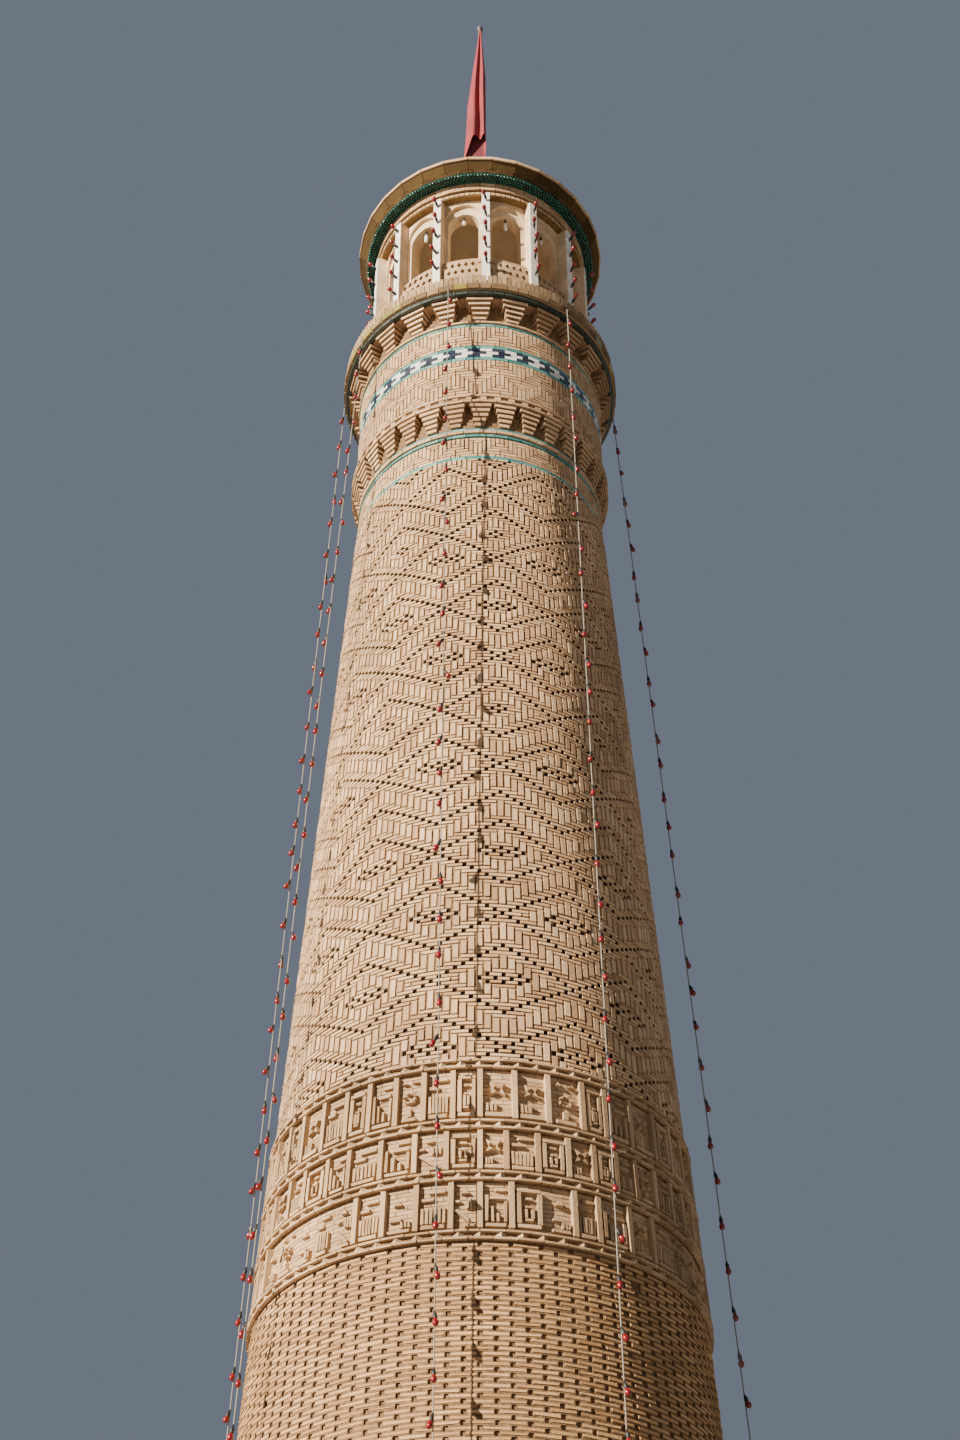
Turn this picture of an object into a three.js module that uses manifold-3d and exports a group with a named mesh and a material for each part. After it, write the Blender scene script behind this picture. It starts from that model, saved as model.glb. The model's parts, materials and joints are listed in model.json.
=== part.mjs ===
// A tapering brick minaret: a plain base, three friezes in relief, a patterned
// shaft, a corbelled drum with glazed bands, and an arcaded gallery under a
// round canopy with a flagpole. Taut leads for strings of bulbs run from the
// rim of the gallery down to the foot. Millimetres, +Z up. The origin is the
// centre of the ground face, and the front of the tower looks towards -Y.
import * as THREE from 'three';
import { mergeVertices } from 'three/addons/utils/BufferGeometryUtils.js';
import Module from 'manifold-3d';

const wasm = await Module();
wasm.setup();

// Driving dimensions
const SEAT = 0.3; // mortar gap left between two pieces that rest on each other
const FACETS = 48; // sides of a round wall
const ARCH_SEGMENTS = 5;
const DOME_STEPS = 6;
const POLE_FACETS = 12;

const GROUND_RADIUS = 2665;
const TAPER = 0.0575; // loss of outer radius for each unit of height
const GROUND_BORE_RADIUS = 1900;
const BORE_TAPER = 0.046;
const FLOOR_THICKNESS = 150;
const DOOR_HALF_WIDTH = 400;
const DOOR_HEIGHT = 1900;

const MOULDING_TOPS = [9240, 9850, 10400, 11070];
const MOULDING_HEIGHT = 110;
const MOULDING_PROUD = 25;

const SHAFT_TOP = 20330;
const SHAFT_LINE_LEVEL = 19930;
const LINE_HEIGHT = 45; // a single course of glazed brick
const TILE_DEPTH = 60;
const TILE_PROUD = 6;

const NECK_TOP = 20530;
const NECK_ROLL = 28;
const LOWER_CORBEL_COUNT = 32;
const LOWER_CORBEL_HEIGHT = 330;
const LOWER_CORBEL_SHARE = 0.84; // of the round that the tops of the blocks fill
const LOWER_CORBEL_REACH = 1590;
const CORNICE_TOP = 20990;
const CORNICE_RADIUS = 1605;

const DRUM_RADIUS = 1552;
const DRUM_BORE_RADIUS = 960;
const DRUM_BAND_LEVEL = 21720;
const DRUM_BAND_HEIGHT = 270;
const DRUM_LINE_LEVEL = 22368;
const DRUM_TOP = 22470;
const UPPER_CORBEL_COUNT = 24;
const UPPER_CORBEL_HEIGHT = 295;
const UPPER_CORBEL_SHARE = 0.78;
const UPPER_CORBEL_REACH = 1700;
const CORBEL_STEPS = 5;

const BALCONY_FLOOR = 22945;
const BALCONY_RADIUS = 1780;
const BALCONY_EDGE = 115; // height of the row of bricks set on end round the rim
const BALCONY_RECESS = 30;
const HATCH_RADIUS = 450;
const CRESTING_RADIUS = 1775;
const CRESTING_THICKNESS = 40;
const CRESTING_HEIGHT = 170;
const PARAPET_RADIUS = 1385;
const PARAPET_HEIGHT = 1060;

const BAY_COUNT = 14;
const FIRST_PIER_AZIMUTH = 3;
const PIER_OUTER_RADIUS = 1460;
const PIER_WIDTH = 100;
const ARCADE_TOP = 25330;
const ARCADE_RADIUS = 1335;
const ARCADE_BORE_RADIUS = 1130;
const SILL_HEIGHT = 60;
const OPENING_HALF_WIDTH = 205;
const OPENING_RISE = 235;
const OPENING_CROWN = 25120;
const RECESS_HALF_WIDTH = 236;
const RECESS_RISE = 262;
const RECESS_CROWN = 25270;
const RECESS_DEPTH = 50;

const CANOPY_BORE_RADIUS = 1050;
const SOFFIT_LEVEL = 25580;
const SOFFIT_TILE_INNER = 1436;
const SOFFIT_TILE_OUTER = 1575;
const SOFFIT_TILE_THICKNESS = 40;
const SOFFIT_TRIM_RADIUS = 1600; // outer edge of the plain ring outside the tiles
const SOFFIT_TRIM_LEVEL = 25660;
const CANOPY_RADIUS = 1671;
const CANOPY_LIP_LEVEL = 25765;
const CANOPY_TOP = 25795;
const DOME_RADIUS = 1250;
const DOME_RISE = 700;
const DOME_THICKNESS = 150;
const POLE_RADIUS = 28;
const POLE_TOP = 31850;
const FINIAL_RADIUS = 45;
const FLAG_TOP = 31700;
const FLAG_BOTTOM = 28150;
const FLAG_TOP_SPAN = [-60, 30]; // left and right edges, from the pole's middle
const FLAG_BOTTOM_SPAN = [-290, 90];
const FLAG_THICKNESS = 120;

const LEAD_RADIUS = 6;
const LEAD_FACETS = 8;
const LEAD_TOP_RADIUS = 1800;
const LEAD_TOP = 22880;
const LEAD_FOOT_RADIUS = 2850;
const LEAD_FOOT = 350;
const LEADS = [ // name, azimuth at the rim, azimuth at the foot
  ['far_left', -94.1, -106.4],
  ['left', -56.9, -57.2],
  ['front', -12.8, -7.3],
  ['right', 37.8, 25.4],
  ['far_right', 99.7, 80.2],
];

const tower = new THREE.Group();

// Materials
const finish = (color, roughness, metalness = 0) =>
  new THREE.MeshStandardMaterial({ color, roughness, metalness });
const brick = finish(0xc9a27c, 0.95);
const carvedBrick = finish(0xc49b74, 0.95);
const glaze = finish(0x2f9a93, 0.25);
const checkGlaze = finish(0x8fb3bd, 0.25);
const darkGlaze = finish(0x1f5a50, 0.2);
const plaster = finish(0xe4d3bd, 0.85);
const steel = finish(0x6f7276, 0.5, 0.8);
const redCloth = finish(0xa5232f, 0.9);
const paleLead = finish(0xd8d2c4, 0.6);

// Shapes
const outerRadius = (z) => GROUND_RADIUS - TAPER * z;
const boreRadius = (z) => GROUND_BORE_RADIUS - BORE_TAPER * z;

// A profile of [radius, height] points, closed on itself or on the axis, turned about +Z.
function turned(profile, facets = FACETS) {
  const closed = profile[0][0] > 0 ? [...profile, profile[0]] : profile;
  const points = closed.map(([radius, z]) => new THREE.Vector2(radius, z));
  return new THREE.LatheGeometry(points, facets).rotateX(Math.PI / 2);
}

// A ring with a box-shaped section, whose faces may lean.
function ring(inner, outer, low, high, innerHigh = inner, outerHigh = outer) {
  return turned([[inner, low], [outer, low], [outerHigh, high], [innerHigh, high]]);
}

// An outline in X and Y, raised from one level to another.
function raised(outline, low, high) {
  const shape = new THREE.Shape(outline.map(([x, y]) => new THREE.Vector2(x, y)));
  return new THREE.ExtrudeGeometry(shape, { depth: high - low, bevelEnabled: false })
    .translate(0, 0, low);
}

function solid(geometry) {
  const bare = geometry.clone();
  bare.deleteAttribute('normal');
  bare.deleteAttribute('uv');
  const merged = mergeVertices(bare, 1e-3);
  return new wasm.Manifold(new wasm.Mesh({
    numProp: 3,
    vertProperties: new Float32Array(merged.attributes.position.array),
    triVerts: new Uint32Array(merged.index.array),
  }));
}

function geometryOf(manifold) {
  const mesh = manifold.getMesh();
  const positions = new Float32Array(mesh.numVert * 3);
  for (let i = 0; i < mesh.numVert; i++) {
    for (let k = 0; k < 3; k++) {
      positions[3 * i + k] = mesh.vertProperties[mesh.numProp * i + k];
    }
  }
  return new THREE.BufferGeometry()
    .setAttribute('position', new THREE.BufferAttribute(positions, 3))
    .setIndex(new THREE.BufferAttribute(new Uint32Array(mesh.triVerts), 1));
}

function add(name, shape, material) {
  const geometry = shape.isBufferGeometry ? shape : geometryOf(shape);
  const mesh = new THREE.Mesh(geometry, material);
  mesh.name = name;
  tower.add(mesh);
}

// Azimuth 0 is the front, -Y, and azimuths grow towards +X.
const radians = THREE.MathUtils.degToRad;
const facing = (azimuth) => radians(azimuth - 90);

// A quarter of the plan, drawn in by half a seat on each cut side.
function quarter(azimuth, low, high) {
  const reach = 3 * GROUND_RADIUS;
  const inset = SEAT / 2;
  return solid(raised([[inset, inset], [reach, inset], [reach, reach], [inset, reach]], low, high)
    .rotateZ(radians(azimuth - 90 - 45)));
}

// Base
const QUARTERS = [['front', 0], ['right', 90], ['back', 180], ['left', 270]];

function conicalWall(low, high) {
  return ring(boreRadius(low), outerRadius(low), low, high, boreRadius(high), outerRadius(high));
}

function doorway() {
  const outline = new THREE.Shape();
  const springing = DOOR_HEIGHT - DOOR_HALF_WIDTH;
  outline.moveTo(-DOOR_HALF_WIDTH, -SEAT);
  outline.lineTo(DOOR_HALF_WIDTH, -SEAT);
  outline.lineTo(DOOR_HALF_WIDTH, springing);
  outline.absarc(0, springing, DOOR_HALF_WIDTH, 0, Math.PI, false);
  const depth = GROUND_RADIUS;
  return solid(new THREE.ExtrudeGeometry(outline, { depth, bevelEnabled: false, curveSegments: 8 })
    .rotateX(Math.PI / 2).translate(0, GROUND_RADIUS + depth / 2, 0));
}

function base() {
  add('ground_floor', turned([
    [0, 0],
    [boreRadius(0) - SEAT, 0],
    [boreRadius(FLOOR_THICKNESS) - SEAT, FLOOR_THICKNESS],
    [0, FLOOR_THICKNESS],
  ]), brick);
  const top = MOULDING_TOPS[0] - MOULDING_HEIGHT - SEAT;
  const wall = solid(conicalWall(0, top));
  for (const [side, azimuth] of QUARTERS) {
    let piece = wall.intersect(quarter(azimuth, -1, top + 1));
    if (side === 'back') piece = piece.subtract(doorway());
    add(`base_wall_${side}`, piece, brick);
  }
}

// Friezes in relief between projecting mouldings
const STOREYS = ['under_friezes', 'over_lower_frieze', 'over_middle_frieze', 'over_upper_frieze'];
const FRIEZES = ['lower_frieze', 'middle_frieze', 'upper_frieze'];

function friezes() {
  MOULDING_TOPS.forEach((top, i) => {
    const low = top - MOULDING_HEIGHT;
    const proud = outerRadius(low) + MOULDING_PROUD;
    add(`moulding_${STOREYS[i]}`, ring(boreRadius(low), proud, low, top - SEAT), carvedBrick);
  });
  FRIEZES.forEach((name, i) => {
    const low = MOULDING_TOPS[i];
    const high = MOULDING_TOPS[i + 1] - MOULDING_HEIGHT - SEAT;
    add(name, conicalWall(low, high), carvedBrick);
  });
}

// A groove round a wall, as profile points, and the glazed bricks that lie in it.
const grooveRadius = (radius) => radius - TILE_DEPTH;

function groove(radiusAt, low, high) {
  return [
    [radiusAt(low), low],
    [grooveRadius(radiusAt(low)), low],
    [grooveRadius(radiusAt(high)), high],
    [radiusAt(high), high],
  ];
}

function tileRing(name, radiusAt, low, high, material) {
  const inner = grooveRadius(radiusAt(low)) + SEAT;
  const outer = radiusAt(high) + TILE_PROUD;
  add(name, ring(inner, outer, low + SEAT, high - SEAT), material);
}

// Shaft
function shaft() {
  const low = MOULDING_TOPS[MOULDING_TOPS.length - 1];
  const lineTop = SHAFT_LINE_LEVEL + LINE_HEIGHT;
  const wall = solid(turned([
    [boreRadius(low), low],
    [outerRadius(low), low],
    ...groove(outerRadius, SHAFT_LINE_LEVEL, lineTop),
    [outerRadius(SHAFT_TOP), SHAFT_TOP - SEAT],
    [boreRadius(SHAFT_TOP), SHAFT_TOP - SEAT],
  ]));
  for (const [side, azimuth] of QUARTERS) {
    add(`shaft_wall_${side}`, wall.intersect(quarter(azimuth, low - 1, SHAFT_TOP)), brick);
  }
  tileRing('shaft_tile_line', outerRadius, SHAFT_LINE_LEVEL, lineTop, glaze);
}

// A wall that swells out in stepped blocks, narrow at the foot, to carry what
// stands above it.
function corbelRing(count, share, foot, low, high, reach) {
  const stepHeight = (high - low) / CORBEL_STEPS;
  const overlap = TILE_DEPTH;
  let piece = solid(ring(DRUM_BORE_RADIUS, foot, low, high));
  for (let i = 0; i < count; i++) {
    for (let k = 0; k < CORBEL_STEPS; k++) {
      const out = foot + ((reach - foot) * (k + 1)) / CORBEL_STEPS;
      const spread = (2 * k + 3) / (2 * CORBEL_STEPS + 1);
      const width = (2 * Math.PI * foot * share * spread) / count;
      const block = new THREE.BoxGeometry(out - foot + overlap, width, stepHeight)
        .translate((out + foot - overlap) / 2, 0, low + stepHeight * (k + 1 / 2))
        .rotateZ((2 * Math.PI * i) / count);
      piece = piece.add(solid(block));
    }
  }
  return piece;
}

// Neck, lower corbels and drum
function drum() {
  const neck = () => outerRadius(SHAFT_TOP);
  const proud = neck() + NECK_ROLL;
  const lower = SHAFT_TOP + LINE_HEIGHT / 2;
  const upper = NECK_TOP - 1.5 * LINE_HEIGHT;
  const roll = [lower + LINE_HEIGHT, upper];
  const rise = (roll[1] - roll[0]) / 4;
  add('neck_course', turned([
    [boreRadius(SHAFT_TOP), SHAFT_TOP],
    [neck(), SHAFT_TOP],
    ...groove(neck, lower, lower + LINE_HEIGHT),
    [proud, roll[0] + rise],
    [proud, roll[1] - rise],
    ...groove(neck, upper, upper + LINE_HEIGHT),
    [neck(), NECK_TOP - SEAT],
    [boreRadius(SHAFT_TOP), NECK_TOP - SEAT],
  ]), brick);
  tileRing('neck_tile_line_lower', neck, lower, lower + LINE_HEIGHT, glaze);
  tileRing('neck_tile_line_upper', neck, upper, upper + LINE_HEIGHT, glaze);

  const corbelTop = NECK_TOP + LOWER_CORBEL_HEIGHT;
  add('lower_corbels', corbelRing(LOWER_CORBEL_COUNT, LOWER_CORBEL_SHARE, neck(), NECK_TOP,
    corbelTop - SEAT, LOWER_CORBEL_REACH), brick);
  add('lower_cornice', ring(DRUM_BORE_RADIUS, CORNICE_RADIUS, corbelTop, CORNICE_TOP - SEAT),
    brick);

  const round = () => DRUM_RADIUS;
  const bandTop = DRUM_BAND_LEVEL + DRUM_BAND_HEIGHT;
  const lineTop = DRUM_LINE_LEVEL + LINE_HEIGHT;
  add('drum_wall', turned([
    [DRUM_BORE_RADIUS, CORNICE_TOP],
    [DRUM_RADIUS, CORNICE_TOP],
    ...groove(round, DRUM_BAND_LEVEL, bandTop),
    ...groove(round, DRUM_LINE_LEVEL, lineTop),
    [DRUM_RADIUS, DRUM_TOP - SEAT],
    [DRUM_BORE_RADIUS, DRUM_TOP - SEAT],
  ]), brick);
  tileRing('drum_tile_band', round, DRUM_BAND_LEVEL, bandTop, checkGlaze);
  tileRing('drum_tile_line', round, DRUM_LINE_LEVEL, lineTop, glaze);
  const upperTop = DRUM_TOP + UPPER_CORBEL_HEIGHT - SEAT;
  add('upper_corbels', corbelRing(UPPER_CORBEL_COUNT, UPPER_CORBEL_SHARE, DRUM_RADIUS, DRUM_TOP,
    upperTop, UPPER_CORBEL_REACH), brick);
}

// The outline of a round-headed opening, from its foot to its crown. The head is
// drawn as two arcs, so that it may rise a little more than half its width.
function archOutline(halfWidth, foot, crown, rise) {
  const springing = crown - rise;
  const reach = (rise * rise - halfWidth * halfWidth) / (2 * halfWidth);
  const sweep = Math.atan2(rise, reach);
  const shape = new THREE.Shape();
  shape.moveTo(-halfWidth, foot);
  shape.lineTo(halfWidth, foot);
  shape.lineTo(halfWidth, springing);
  shape.absarc(-reach, springing, halfWidth + reach, 0, sweep, false);
  shape.absarc(reach, springing, halfWidth + reach, Math.PI - sweep, Math.PI, false);
  shape.closePath();
  return shape;
}

// The space of an arched opening that faces an azimuth, from one radius out to another.
function archSpace(outline, azimuth, near, far) {
  const options = { depth: far - near, bevelEnabled: false, curveSegments: ARCH_SEGMENTS };
  return solid(new THREE.ExtrudeGeometry(outline, options)
    .rotateX(Math.PI / 2)
    .translate(0, -near, 0)
    .rotateZ(radians(azimuth)));
}

// Gallery
function gallery() {
  const low = DRUM_TOP + UPPER_CORBEL_HEIGHT;
  const edge = BALCONY_FLOOR - BALCONY_EDGE;
  const band = BALCONY_RADIUS - BALCONY_RECESS;
  add('balcony_slab', turned([
    [HATCH_RADIUS, low],
    [grooveRadius(band), low],
    [grooveRadius(band), edge],
    [BALCONY_RADIUS, edge],
    [BALCONY_RADIUS, BALCONY_FLOOR - SEAT],
    [HATCH_RADIUS, BALCONY_FLOOR - SEAT],
  ]), brick);
  add('balcony_tile_line', ring(grooveRadius(band) + SEAT, band, low, edge - SEAT), glaze);
  add('rim_cresting', ring(CRESTING_RADIUS - CRESTING_THICKNESS, CRESTING_RADIUS, BALCONY_FLOOR,
    BALCONY_FLOOR + CRESTING_HEIGHT), plaster);

  // The pierced parapet passes behind the front edge of each pier.
  const parapetTop = BALCONY_FLOOR + PARAPET_HEIGHT;
  add('parapet', ring(ARCADE_RADIUS + SEAT, PARAPET_RADIUS, BALCONY_FLOOR, parapetTop), plaster);
  const parapetSlot = solid(ring(ARCADE_RADIUS, PARAPET_RADIUS + SEAT, BALCONY_FLOOR - 1,
    parapetTop + SEAT));

  const pitch = 360 / BAY_COUNT;
  const top = ARCADE_TOP - SEAT;
  let arcade = solid(ring(ARCADE_BORE_RADIUS, ARCADE_RADIUS, BALCONY_FLOOR, top));
  const opening = archOutline(OPENING_HALF_WIDTH, BALCONY_FLOOR + SILL_HEIGHT, OPENING_CROWN,
    OPENING_RISE);
  const recess = archOutline(RECESS_HALF_WIDTH, BALCONY_FLOOR + SILL_HEIGHT, RECESS_CROWN,
    RECESS_RISE);
  for (let i = 0; i < BAY_COUNT; i++) {
    const pier = FIRST_PIER_AZIMUTH + pitch * i;
    const bay = pier + pitch / 2;
    const near = ARCADE_BORE_RADIUS / 2;
    arcade = arcade
      .subtract(archSpace(opening, bay, near, BALCONY_RADIUS))
      .subtract(archSpace(recess, bay, ARCADE_RADIUS - RECESS_DEPTH, BALCONY_RADIUS));
    const depth = PIER_OUTER_RADIUS - ARCADE_RADIUS + RECESS_DEPTH;
    arcade = arcade.add(solid(
      new THREE.BoxGeometry(depth, PIER_WIDTH, top - BALCONY_FLOOR)
        .translate(PIER_OUTER_RADIUS - depth / 2, 0, (top + BALCONY_FLOOR) / 2)
        .rotateZ(facing(pier))));
  }
  add('gallery_arcade', arcade.subtract(parapetSlot), plaster);
}

// Canopy, dome and flagpole
function canopy() {
  const step = (SOFFIT_LEVEL - ARCADE_TOP) / 3;
  const tileTop = SOFFIT_LEVEL + SOFFIT_TILE_THICKNESS;
  add('canopy_cornice', turned([
    [CANOPY_BORE_RADIUS, ARCADE_TOP],
    [ARCADE_RADIUS + step, ARCADE_TOP],
    [ARCADE_RADIUS + step, ARCADE_TOP + step],
    [SOFFIT_TILE_INNER - SEAT, ARCADE_TOP + step],
    [SOFFIT_TILE_INNER - SEAT, tileTop],
    [CANOPY_BORE_RADIUS, tileTop],
  ]), brick);
  add('canopy_tile_band', ring(SOFFIT_TILE_INNER, SOFFIT_TILE_OUTER, SOFFIT_LEVEL, tileTop),
    darkGlaze);
  add('canopy_slab', turned([
    [CANOPY_BORE_RADIUS, tileTop + SEAT],
    [SOFFIT_TILE_OUTER + SEAT, tileTop + SEAT],
    [SOFFIT_TRIM_RADIUS, SOFFIT_TRIM_LEVEL],
    [CANOPY_RADIUS, CANOPY_LIP_LEVEL],
    [CANOPY_RADIUS, CANOPY_TOP],
    [CANOPY_BORE_RADIUS, CANOPY_TOP],
  ]), brick);

  const foot = CANOPY_TOP + SEAT;
  const outer = [];
  const inner = [];
  for (let k = 0; k < DOME_STEPS; k++) {
    const angle = (Math.PI / 2) * (k / DOME_STEPS);
    const hollow = 1 - DOME_THICKNESS / DOME_RADIUS;
    outer.push([DOME_RADIUS * Math.cos(angle), foot + DOME_RISE * Math.sin(angle)]);
    inner.push([DOME_RADIUS * hollow * Math.cos(angle),
      foot + (DOME_RISE - DOME_THICKNESS) * Math.sin(angle)]);
  }
  const crown = foot + DOME_RISE;
  add('roof_dome', turned([
    [0, crown - DOME_THICKNESS],
    ...inner.reverse(),
    ...outer,
    [0, crown],
  ]), brick);
  const poleFoot = crown + SEAT;
  const finial = POLE_TOP - FINIAL_RADIUS;
  add('flagpole', turned([
    [0, poleFoot],
    [POLE_RADIUS, poleFoot],
    [POLE_RADIUS, finial - FINIAL_RADIUS],
    [FINIAL_RADIUS, finial - FINIAL_RADIUS / 2],
    [FINIAL_RADIUS, finial + FINIAL_RADIUS / 2],
    [POLE_RADIUS, POLE_TOP],
    [0, POLE_TOP],
  ], POLE_FACETS), steel);

  // The cloth hangs limp against the front of the pole.
  const cloth = new THREE.Shape([
    [FLAG_BOTTOM_SPAN[0], FLAG_BOTTOM],
    [FLAG_BOTTOM_SPAN[1], FLAG_BOTTOM],
    [FLAG_TOP_SPAN[1], FLAG_TOP],
    [FLAG_TOP_SPAN[0], FLAG_TOP],
  ].map(([x, z]) => new THREE.Vector2(x, z)));
  add('flag', new THREE.ExtrudeGeometry(cloth, { depth: FLAG_THICKNESS, bevelEnabled: false })
    .rotateX(Math.PI / 2)
    .translate(0, -POLE_RADIUS - SEAT, 0), redCloth);
}

// Taut leads, each from the face of the rim down past the friezes and into the foot of the wall
function leads() {
  const point = (azimuth, radius, z) => new THREE.Vector3(
    radius * Math.cos(facing(azimuth)), radius * Math.sin(facing(azimuth)), z);
  const section = new THREE.Shape(Array.from({ length: LEAD_FACETS }, (_, i) => {
    const angle = (2 * Math.PI * i) / LEAD_FACETS;
    return new THREE.Vector2(LEAD_RADIUS * Math.cos(angle), LEAD_RADIUS * Math.sin(angle));
  }));
  const stretch = (from, to) => {
    const extrudePath = new THREE.LineCurve3(from, to);
    return solid(new THREE.ExtrudeGeometry(section, { steps: 1, extrudePath }));
  };
  const rim = solid(ring(HATCH_RADIUS, BALCONY_RADIUS + SEAT, BALCONY_FLOOR - BALCONY_EDGE,
    BALCONY_FLOOR + SEAT));
  const foot = solid(ring(boreRadius(0), outerRadius(0) + SEAT, 0, 2 * LEAD_FOOT,
    boreRadius(2 * LEAD_FOOT), outerRadius(2 * LEAD_FOOT) + SEAT));
  for (const [side, topAzimuth, footAzimuth] of LEADS) {
    const top = point(topAzimuth, LEAD_TOP_RADIUS, LEAD_TOP);
    const bottom = point(footAzimuth, LEAD_FOOT_RADIUS, LEAD_FOOT);
    const along = bottom.clone().sub(top).normalize().multiplyScalar(LEAD_RADIUS);
    const lead = stretch(top.clone().sub(along), bottom.clone().add(along))
      .add(stretch(point(topAzimuth, BALCONY_RADIUS - LEAD_RADIUS, LEAD_TOP), top))
      .add(stretch(bottom, point(footAzimuth, GROUND_RADIUS - 4 * LEAD_RADIUS, LEAD_FOOT)))
      .subtract(rim)
      .subtract(foot);
    add(`light_string_${side}`, lead, paleLead);
  }
}

base();
friezes();
shaft();
drum();
gallery();
canopy();
leads();

export default tower;
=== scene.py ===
import bisect
import json
from math import cos, hypot, pi, radians, sin, tan

import bmesh
import bpy
import numpy as np
from numpy.random import default_rng
from mathutils import Matrix, Vector

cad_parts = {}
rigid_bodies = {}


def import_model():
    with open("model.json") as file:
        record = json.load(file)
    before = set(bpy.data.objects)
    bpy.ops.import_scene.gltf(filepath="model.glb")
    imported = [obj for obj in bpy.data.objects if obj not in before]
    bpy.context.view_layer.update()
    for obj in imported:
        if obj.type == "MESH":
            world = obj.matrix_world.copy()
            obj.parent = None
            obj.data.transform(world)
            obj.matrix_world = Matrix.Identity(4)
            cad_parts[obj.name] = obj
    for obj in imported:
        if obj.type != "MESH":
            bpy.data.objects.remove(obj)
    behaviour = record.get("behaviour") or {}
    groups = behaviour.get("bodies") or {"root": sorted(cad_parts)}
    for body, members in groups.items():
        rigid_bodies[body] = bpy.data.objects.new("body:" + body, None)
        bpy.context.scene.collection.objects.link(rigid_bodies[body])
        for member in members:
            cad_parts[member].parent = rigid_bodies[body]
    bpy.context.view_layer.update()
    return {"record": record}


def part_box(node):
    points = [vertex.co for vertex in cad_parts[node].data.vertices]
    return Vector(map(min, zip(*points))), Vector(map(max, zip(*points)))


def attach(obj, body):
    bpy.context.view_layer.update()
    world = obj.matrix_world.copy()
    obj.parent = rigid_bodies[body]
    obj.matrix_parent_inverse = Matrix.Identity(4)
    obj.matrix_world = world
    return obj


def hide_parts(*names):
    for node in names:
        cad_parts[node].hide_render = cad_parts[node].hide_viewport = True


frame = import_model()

SEED = 7


# Levels and radii, from the solids
def level(node):
    """The lower and upper level of a node."""
    low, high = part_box(node)
    return low.z, high.z


def outer_radius(node):
    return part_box(node)[1].x


def upright(radius):
    """The radius at levels z of a wall that doesn't taper."""
    return lambda z: radius + 0 * z


GROUND_RADIUS = -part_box("base_wall_front")[0].y
TAPER = (GROUND_RADIUS - outer_radius("upper_frieze")) / level("upper_frieze")[0]


def cone_radius(z):
    """Outer radius of the tapering wall at a level."""
    return GROUND_RADIUS - TAPER * z


NECK_LEVEL = level("shaft_wall_front")[1]
NECK_RADIUS = cone_radius(NECK_LEVEL)
DRUM_RADIUS = outer_radius("drum_wall")
on_neck = upright(NECK_RADIUS)
on_drum = upright(DRUM_RADIUS - 0.006)


# Mesh tools
def add_object(name, data):
    obj = bpy.data.objects.new(name, data)
    bpy.context.collection.objects.link(obj)
    return obj


def new_object(name, vertices, faces, materials, tones=None, smooth=False):
    """A mesh that rides on the tower. tones gives each face a number from 0 to 1."""
    mesh = bpy.data.meshes.new(name)
    mesh.from_pydata(np.asarray(vertices).tolist(), [], faces)
    if tones is not None:
        layer = mesh.attributes.new("tone", "FLOAT", "FACE")
        layer.data.foreach_set("value", np.asarray(tones, np.float32))
    mesh.polygons.foreach_set("use_smooth", [smooth] * len(mesh.polygons))
    mesh.update()
    for material in materials:
        mesh.materials.append(material)
    obj = add_object(name, mesh)
    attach(obj, "root")
    return obj


def on_round(azimuth, radius, z):
    """Points at azimuths in degrees (0 at the front, growing to the right) about the axis."""
    a = np.radians(azimuth)
    return np.stack(np.broadcast_arrays(radius * np.sin(a), -radius * np.cos(a), z), -1)


def rectangle(x0, x1, y0, y1):
    return [(x0, y0), (x1, y0), (x1, y1), (x0, y1)]


def polar(x, y, points):
    """Points given as (radius, angle) about a middle."""
    return [(x + r * cos(a), y + r * sin(a)) for r, a in points]


def prism(count):
    """Faces between a front and a back outline of count points each."""
    sides = [(k, k + count, (k + 1) % count + count, (k + 1) % count) for k in range(count)]
    return [tuple(range(count)), tuple(range(count, 2 * count))[::-1]] + sides


EMBED = 0.012  # how far a brick reaches into its wall


def blocks_on_wall(name, rects, radius_at, proud, slot, material, wear=0.003, seed=SEED, uneven=0.12,
                   sides=None):
    """Bricks on a round wall, one for each row of rects: first and last azimuth, low and high level."""
    rng = default_rng(seed)
    count = len(rects)
    a0, a1, z0, z1 = rects.T
    out = proud * (1 + rng.uniform(-uneven, uneven / 3, count))
    low, high = radius_at(z0), radius_at(z1)
    degrees = np.degrees(wear / low)
    jitter = rng.uniform(0.3, 1.6, (4, count))
    ends = ((a0, low, z0, 1, 1), (a1, low, z0, -1, 1), (a1, high, z1, -1, -1), (a0, high, z1, 1, -1))
    corners = [on_round(a + right * degrees * jitter[k], radius + out, z + up * wear * jitter[k - 2])
               for k, (a, radius, z, right, up) in enumerate(ends)]
    corners += [on_round(a, radius - EMBED, z) for a, radius, z, *_ in ends]
    vertices = np.stack(corners, 1).reshape(-1, 3)
    faces = (np.array(prism(4)) + 8 * np.arange(count)[:, None, None]).reshape(-1, 4).tolist()
    materials = [material, sides] if sides else [material]
    obj = new_object(name, vertices, faces, materials, np.repeat(rng.random(count), 6))
    if sides:
        obj.data.polygons.foreach_set("material_index", [0, 0, 1, 1, 1, 1] * count)


def rects_of(left, right, low, high, joints, radius_at):
    """Rows of first and last azimuth, low and high level, less the joints: (across, up)."""
    side = np.degrees(joints[0] / radius_at(low)) / 2
    up = joints[1] / 2
    return np.stack(np.broadcast_arrays(left + side, right - side, low + up, high - up), 1)


SEAM = 3  # columns laid past both ends, as bricks cross the wall's seam


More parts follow.
